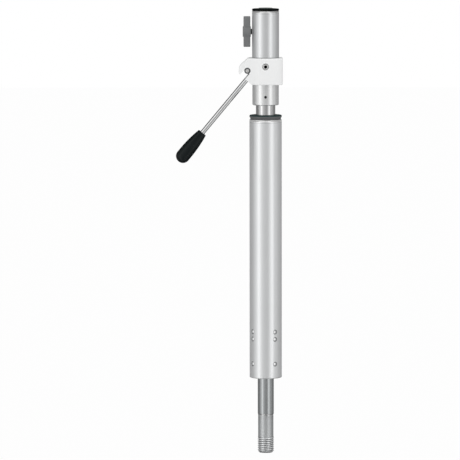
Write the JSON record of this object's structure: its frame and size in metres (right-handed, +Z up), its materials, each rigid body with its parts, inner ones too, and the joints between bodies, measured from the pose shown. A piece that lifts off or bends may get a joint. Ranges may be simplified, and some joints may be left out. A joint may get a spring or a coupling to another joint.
{
  "type": "adjustable table pedestal",
  "caption": "Gas-spring table column: outer tube on a threaded base pin, sliding and swivelling head with a release lever, a clamp knob and a capped tube.",
  "frame": {"origin": "on the column's axis where the base pin meets the foot of the outer tube, the plane that rests on the deck socket", "axes": "+Z up the column's axis; the release lever and the clamp knob point towards -X; the housing's screw faces -Y"},
  "size_m": [0.1987, 0.062, 0.8308],
  "materials": {
    "anodised_aluminium": "satin",
    "bright_tube": "polished",
    "machined_aluminium": "turned",
    "zinc_steel": "zinc plated, turned",
    "stainless_steel": "polished",
    "black_steel": "black, satin",
    "white_plastic": "smooth moulded",
    "black_plastic": "satin moulded",
    "grey_plastic": "satin moulded",
    "nylon": "natural",
    "rubber": "matt"
  },
  "bodies": {
    "column": {"base_pin": "zinc_steel", "bottom_plug": "machined_aluminium", "cross_pin": "stainless_steel", "outer_tube": "anodised_aluminium", "top_bushing": "black_plastic", "wiper_ring": "rubber", "spring_standoff": "zinc_steel", "cylinder_nut": "zinc_steel", "gas_cylinder": "black_steel", "rod_gland": "machined_aluminium"},
    "gas_rod": {"piston_rod": "stainless_steel", "piston": "machined_aluminium", "lower_washer": "zinc_steel", "upper_washer": "zinc_steel", "lower_rod_nut": "zinc_steel", "upper_rod_nut": "zinc_steel"},
    "valve": {"release_pin": "stainless_steel"},
    "head": {"inner_tube": "bright_tube", "guide_ring": "nylon", "lower_guide_clip": "black_steel", "upper_guide_clip": "black_steel", "coupling_sleeve": "anodised_aluminium", "sleeve_set_screw": "black_steel", "head_tube": "anodised_aluminium", "top_cap": "black_plastic", "lever_housing": "white_plastic", "housing_screw": "stainless_steel", "clamp_nut": "machined_aluminium"},
    "lever": {"lever_hub": "black_plastic", "pivot_pin": "black_steel", "lever_rod": "stainless_steel", "lever_grip": "black_plastic"},
    "clamp_collar": {"clamp_bush": "black_plastic"},
    "knob": {"wing_knob": "grey_plastic", "clamp_screw": "zinc_steel"}
  },
  "joints": [
    {"name": "height_slide", "type": "slide", "parent": "column", "child": "gas_rod", "axis": [0, 0, 1], "range_m": [0, 0.2]},
    {"name": "head_swivel", "type": "hinge", "parent": "gas_rod", "child": "head", "pos_m": [0, 0, 0.54], "axis": [0, 0, 1], "continuous": true},
    {"name": "lever_lift", "type": "hinge", "parent": "head", "child": "lever", "pos_m": [-0.03366, 0, 0.5735], "axis": [0, 1, 0], "range_deg": [0, 8], "stiffness_Nm_per_rad": 2, "springref_deg": -2.86},
    {"name": "valve_travel", "type": "slide", "parent": "gas_rod", "child": "valve", "axis": [0, 0, -1], "range_m": [0, 0.0047]},
    {"name": "clamp_feed", "type": "slide", "parent": "head", "child": "clamp_collar", "axis": [-1, 0, 0], "range_m": [0, 0.0025]},
    {"name": "knob_turn", "type": "hinge", "parent": "clamp_collar", "child": "knob", "pos_m": [-0.03, 0, 0.64535], "axis": [-1, 0, 0], "range_deg": [0, 720]}
  ],
  "couplings": [
    {"joint": "valve_travel", "follows": "lever_lift", "m_per_rad": 0.03366},
    {"joint": "clamp_feed", "follows": "knob_turn", "m_per_rad": 0.00019894}
  ]
}
